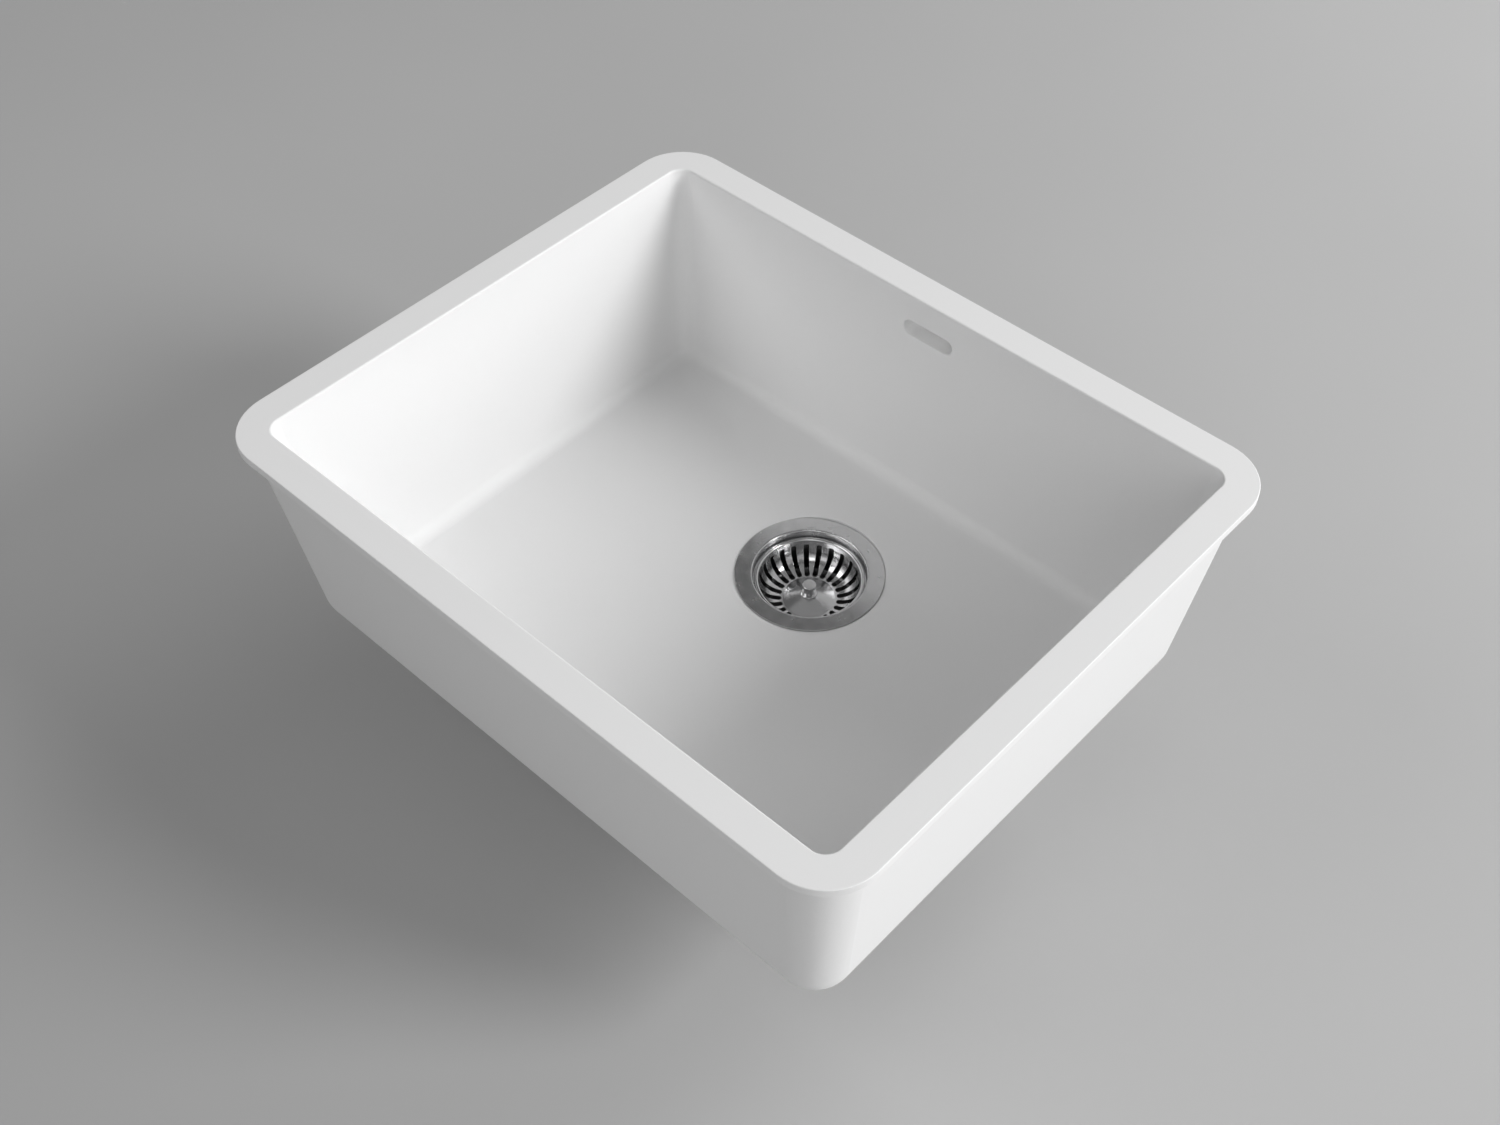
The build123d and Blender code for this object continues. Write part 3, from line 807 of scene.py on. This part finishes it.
@dataclass
class BasketCup(SlottedSheet):
    """Slotted basket with a rolled bead, a deep round and a centre that rises to the knob."""

    name: str = "basket_sheet"
    count: int = 24
    sheet: float = 0.0008
    edge: float = 0.00012
    side_steps: int = 5
    middle_steps: int = 2
    bead_outer: float = 0.0422
    bead_radius: float = 0.0017
    bead_depth: float = 0.007
    lip: float = 0.0009
    wall: float = 0.0382
    wall_bottom: float = 0.0115
    round: float = 0.0165
    cone_foot: float = 0.02
    cone_top: float = 0.006
    cone_depth: float = 0.0243
    hole: float = 0.00305
    slot_width: float = 0.004
    slot_inner: float = 0.0213
    slot_top: float = 0.0105
    slot_crown: float = 0.0009
    slot_margin: float = 0.0004
    slot_steps: int = 20
    bead_steps: int = 14
    cone_foot_round: float = 0.003
    cone_top_round: float = 0.002
    cone_steps: int = 4
    crown_turns: tuple[float, ...] = (25.0, 45.0, 65.0, 90.0)
    end_turns: tuple[float, ...] = (20.0, 40.0, 55.0, 70.0)

    def on_wall(self, depth: float) -> Pair:
        """Radius and depth on the wall between the bead and the deep round.

        Args:
            depth: Depth below the flange's top.

        Returns:
            Radius and depth.
        """
        top = self.bead_outer - 2 * self.bead_radius
        share = (depth - self.bead_depth) / (self.wall_bottom - self.bead_depth)
        return top + (self.wall - top) * share, depth

    def on_round(self, angle: float) -> Pair:
        """Radius and depth on the deep round.

        Args:
            angle: Angle below the top of the round.

        Returns:
            Radius and depth.
        """
        centre = self.wall - self.round
        return centre + self.round * math.cos(angle), self.wall_bottom + self.round * math.sin(angle)

    def rows(self) -> list[Row]:
        """Rings from the bead's lip over the wall and the slots to the hole of the pin."""
        centre, half = self.wall - self.round, self.slot_width / 2
        bead_centre = self.bead_outer - self.bead_radius
        end_centre = self.slot_inner + half
        end = math.acos((end_centre - centre) / self.round)
        points: list[tuple[float, float, float]] = []
        for turn in self.crown_turns:
            depth = self.slot_top + self.slot_crown * (1.0 - math.cos(math.radians(turn)))
            points.append((*self.on_wall(depth), half * math.sin(math.radians(turn))))
        for angle in spread(0.0, end, self.slot_steps):
            points.append((*self.on_round(angle), half))
        for turn in self.end_turns:
            radius = end_centre - half * math.sin(math.radians(turn))
            depth = self.on_round(math.acos(max(0.0, radius - centre) / self.round))[1]
            points.append((radius, depth, half * math.cos(math.radians(turn))))
        slots = [Row(radius, depth, math.asin(width / radius), True) for radius, depth, width in points]
        slots[-1] = Row(slots[-1].radius, slots[-1].depth, slots[-1].slot)

        above = [(self.bead_outer, self.bead_depth + self.lip)]
        for turn in spread(0.0, math.pi, self.bead_steps):
            above.append(
                (
                    bead_centre + self.bead_radius * math.cos(turn),
                    self.bead_depth - self.bead_radius * math.sin(turn),
                )
            )
        above.append(self.on_wall((self.bead_depth + self.slot_top) / 2))
        above.append(self.on_wall(self.slot_top - self.slot_margin))
        depth = self.wall_bottom + self.round
        below = rounded_path(
            [
                (self.slot_inner - self.slot_margin, depth, 0.0),
                (self.cone_foot, depth, self.cone_foot_round),
                ((self.cone_foot + self.cone_top) / 2, (depth + self.cone_depth) / 2, 0.0),
                (self.cone_top, self.cone_depth, self.cone_top_round),
                (self.hole, self.cone_depth, 0.0),
            ],
            self.cone_steps,
        )
        rows = [Row(radius, depth, slots[0].slot) for radius, depth in above]
        rows += slots
        rows += [Row(radius, depth, slots[-1].slot) for radius, depth in below]
        return rows


@dataclass
class Moulding:
    """Copy of a packed moulded piece with the soft edges that a mould leaves."""

    node: str
    name: str
    edge: float = 0.0006
    edge_angle: float = 35.0
    flat_angle: float = 0.5
    weld: float = 1.0e-6

    def shape(self, nodes: dict[str, bpy.types.Object]) -> bmesh.types.BMesh:
        """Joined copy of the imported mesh.

        Args:
            nodes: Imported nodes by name.

        Returns:
            The copy, with flat faces in one piece.
        """
        source = nodes[self.node].data
        shape = bmesh.new()
        verts = [shape.verts.new(vert.co) for vert in source.vertices]
        for polygon in source.polygons:
            shape.faces.new([verts[index] for index in polygon.vertices])
        bmesh.ops.remove_doubles(shape, verts=shape.verts, dist=self.weld)
        bmesh.ops.dissolve_limit(
            shape,
            angle_limit=math.radians(self.flat_angle),
            verts=shape.verts,
            edges=shape.edges,
            delimit=set(),
        )
        return shape

    def build(self, nodes: dict[str, bpy.types.Object], finish: bpy.types.Material) -> bpy.types.Object:
        """Make the piece.

        Args:
            nodes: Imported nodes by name.
            finish: Material of the piece.

        Returns:
            The finished piece.
        """
        shape = self.shape(nodes)
        mesh = bpy.data.meshes.new(self.name)
        shape.to_mesh(mesh)
        shape.free()
        mesh.materials.append(finish)
        mesh.shade_smooth()
        piece = put(self.name, mesh)
        edge = piece.modifiers.new("edge", "BEVEL")
        edge.width = self.edge
        edge.segments = EDGE_STEPS
        edge.limit_method = "ANGLE"
        edge.angle_limit = math.radians(self.edge_angle)
        edge.harden_normals = True
        settle(piece)
        return piece


@dataclass
class WasteMoulding(Moulding):
    """Waste body whose outlet is narrowed to the root of its thread."""

    node: str = "waste_body"
    name: str = "waste_moulding"
    crest: float = 0.0239
    root: float = 0.0229
    outlet_top: float = -0.2588
    pitch: float = 0.00231
    turns: float = 7.5
    run_out: float = 0.0022
    ridge_share: float = 0.95
    reach: float = 1.0e-4

    def shape(self, nodes: dict[str, bpy.types.Object]) -> bmesh.types.BMesh:
        """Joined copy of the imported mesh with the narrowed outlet.

        Args:
            nodes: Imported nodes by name.

        Returns:
            The copy.
        """
        shape = super().shape(nodes)
        for vert in shape.verts:
            away = Vector((vert.co.x - DRAIN_CENTRE[0], vert.co.y - DRAIN_CENTRE[1]))
            if vert.co.z < self.outlet_top + self.reach and abs(away.length - self.crest) < self.reach:
                away *= self.root / away.length
                vert.co.x, vert.co.y = DRAIN_CENTRE[0] + away.x, DRAIN_CENTRE[1] + away.y
        return shape

    def build_thread(self, winding: WindingTree, finish: bpy.types.Material) -> bpy.types.Object:
        """Make the thread of the outlet.

        Args:
            winding: Tree that winds the ridge.
            finish: Material of the thread.

        Returns:
            The finished thread.
        """
        ridge = (self.crest - self.root) * self.ridge_share
        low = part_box(self.node)[0].z
        piece = put("outlet_thread", bpy.data.meshes.new("outlet_thread"))
        winding.wind(
            piece,
            {
                winding.turns: self.turns,
                winding.radius: self.crest - ridge,
                winding.ridge: ridge,
                winding.height: self.turns * self.pitch,
                winding.foot: (DRAIN_CENTRE[0], DRAIN_CENTRE[1], low + self.run_out),
                winding.finish: finish,
            },
        )
        return piece


@dataclass(frozen=True)
class Lamp:
    """Round soft lamp, placed by its direction from the bowl."""

    name: str
    azimuth: float
    elevation: float
    distance: float
    size: float
    power: float

    def hang(self, aim: Vector) -> None:
        """Hang the lamp and turn it to the bowl.

        Args:
            aim: Point that it faces.
        """
        data = bpy.data.lights.new(self.name, "AREA")
        data.shape = "DISK"
        data.size = self.size
        data.energy = self.power
        azimuth, elevation = math.radians(self.azimuth), math.radians(self.elevation)
        level = math.cos(elevation)
        away = Vector((math.cos(azimuth) * level, math.sin(azimuth) * level, math.sin(elevation)))
        lamp = bpy.data.objects.new(self.name, data)
        lamp.location = aim + away * self.distance
        lamp.rotation_mode = "QUATERNION"
        lamp.rotation_quaternion = away.to_track_quat("Z", "Y")
        bpy.context.scene.collection.objects.link(lamp)


@dataclass
class Studio:
    """Floor, lamps, surroundings and camera."""

    floor_level: float = -0.285
    floor_half: float = 6.0
    world_grey: float = 0.125
    aim: Triple = (0.0, 0.0, -0.08)
    lamps: tuple[Lamp, ...] = (
        Lamp("key", 25.0, 30.0, 6.0, 2.2, 236.0),
        Lamp("back_fill", 75.0, 25.0, 4.0, 2.4, 80.0),
        Lamp("left_fill", 230.0, 45.0, 4.0, 2.4, 29.0),
        Lamp("front_fill", 310.0, 25.0, 4.0, 2.4, 29.0),
        Lamp("right_fill", 0.0, 12.0, 4.0, 1.6, 18.0),
        Lamp("top_fill", 0.0, 89.0, 4.0, 5.0, 8.0),
    )
    camera_place: Triple = (0.58595, -0.62335, 0.84204)
    camera_target: Triple = (0.00985, -0.00203, -0.1)
    camera_roll: float = -0.101
    lens: float = 43.54
    sensor: float = 36.0

    def build_floor(self) -> None:
        """Lay the plain floor."""
        half, level = self.floor_half, self.floor_level
        mesh = bpy.data.meshes.new("floor")
        corners = [(-half, -half, level), (half, -half, level), (half, half, level), (-half, half, level)]
        mesh.from_pydata(corners, [], [(0, 1, 2, 3)])
        mesh.materials.append(FloorFinish().make())
        floor = bpy.data.objects.new("floor", mesh)
        bpy.context.scene.collection.objects.link(floor)

    def build_lamps(self) -> None:
        """Hang the soft lamps and fill the surroundings with an even grey."""
        for lamp in self.lamps:
            lamp.hang(Vector(self.aim))
        world = bpy.data.worlds.new("surroundings")
        world.use_nodes = True
        background = world.node_tree.nodes["Background"]
        background.inputs["Color"].default_value = (self.world_grey,) * 3 + (1.0,)
        bpy.context.scene.world = world

    def build_camera(self) -> None:
        """Set the camera at the photograph's place and angle."""
        data = bpy.data.cameras.new("camera")
        data.lens = self.lens
        data.sensor_width = self.sensor
        camera = bpy.data.objects.new("camera", data)
        place, target = Vector(self.camera_place), Vector(self.camera_target)
        roll = Quaternion((0.0, 0.0, 1.0), math.radians(self.camera_roll))
        camera.location = place
        camera.rotation_mode = "QUATERNION"
        camera.rotation_quaternion = (target - place).to_track_quat("-Z", "Y") @ roll
        bpy.context.scene.collection.objects.link(camera)
        bpy.context.scene.camera = camera
        bpy.context.scene.view_settings.view_transform = "Standard"


def build_waste(finishes: Finishes) -> None:
    """Build the flange, the basket and the waste below them.

    Args:
        finishes: Materials by slot.
    """
    ring = RingTree()
    bright = finishes.made[Slot.POLISHED_STEEL]
    seat(StrainerFlange().build(ring, finishes.flange), Body.SINK, Slot.SATIN_STEEL, "strainer_flange")
    seat(BasketCup().build(ring, bright), Body.BASKET, Slot.POLISHED_STEEL, "basket_cup")
    waste = WasteMoulding()
    plastic = finishes.made[Slot.PLASTIC]
    seat(waste.build(frame["nodes"], plastic), Body.SINK, Slot.PLASTIC, waste.node)
    seat(waste.build_thread(WindingTree(), plastic), Body.SINK, Slot.PLASTIC)


def build_mouldings(finishes: Finishes) -> None:
    """Build the moulded pieces of the overflow.

    Args:
        finishes: Materials by slot.
    """
    plastic = finishes.made[Slot.PLASTIC]
    for node, name, finish in (
        ("overflow_collector", "collector_moulding", finishes.frosted),
        ("upper_pipe_nut", "upper_nut_moulding", plastic),
        ("lower_pipe_nut", "lower_nut_moulding", plastic),
    ):
        piece = Moulding(node, name).build(frame["nodes"], finish)
        seat(piece, Body.SINK, Slot.PLASTIC, node)


def main() -> None:
    """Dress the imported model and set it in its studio."""
    logging.basicConfig(level=logging.INFO, format="%(name)s: %(message)s")
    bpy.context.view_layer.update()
    finishes = Finishes()
    finishes.build()
    finishes.dress(frame["nodes"], frame["record"])
    build_waste(finishes)
    build_mouldings(finishes)
    studio = Studio()
    studio.build_floor()
    studio.build_lamps()
    studio.build_camera()


if __name__ == "__main__":
    main()
